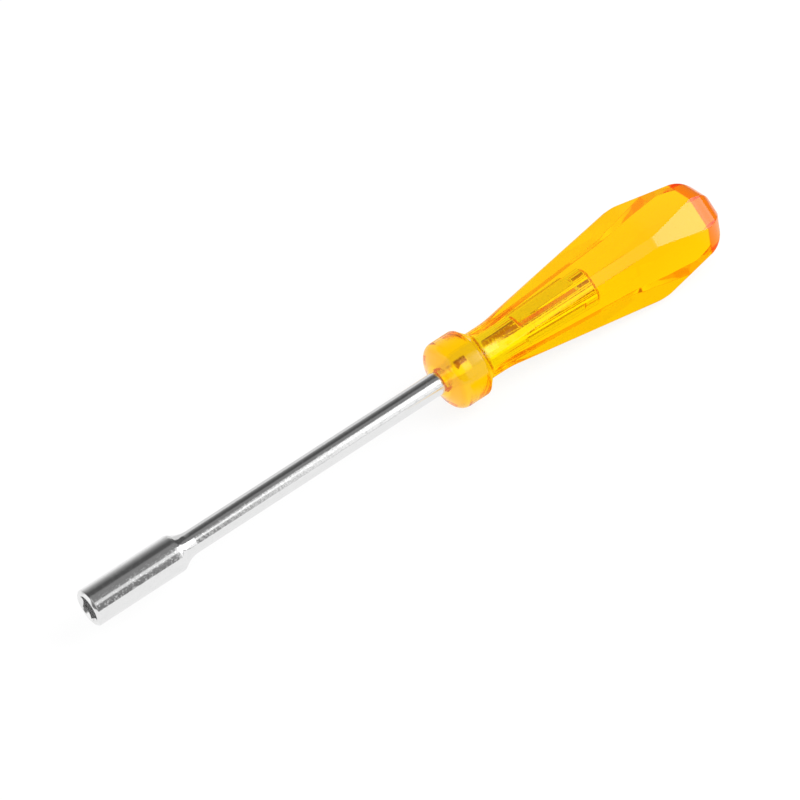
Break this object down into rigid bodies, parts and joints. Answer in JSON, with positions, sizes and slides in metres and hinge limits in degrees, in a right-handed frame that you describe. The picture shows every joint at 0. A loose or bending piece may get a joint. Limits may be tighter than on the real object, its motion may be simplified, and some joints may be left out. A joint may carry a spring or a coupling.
{
  "type": "nut driver",
  "caption": "Hand nut driver: a chromed hexagon socket on a straight round shank, fixed in a see-through amber handle with wide flats, narrow corner facets and a round collar.",
  "frame": {"origin": "centre of the socket's mouth, in the plane of its front face", "axes": "+X along the tool from the socket to the handle's butt, +Z out of one of the handle's wide flats, +Y out of the next wide flat"},
  "size_m": [0.2298, 0.0248, 0.0248],
  "materials": {
    "amber_plastic": "clear, polished",
    "satin_chrome": "satin"
  },
  "bodies": {
    "root": {"handle": "amber_plastic", "blade": "satin_chrome"}
  },
  "joints": []
}
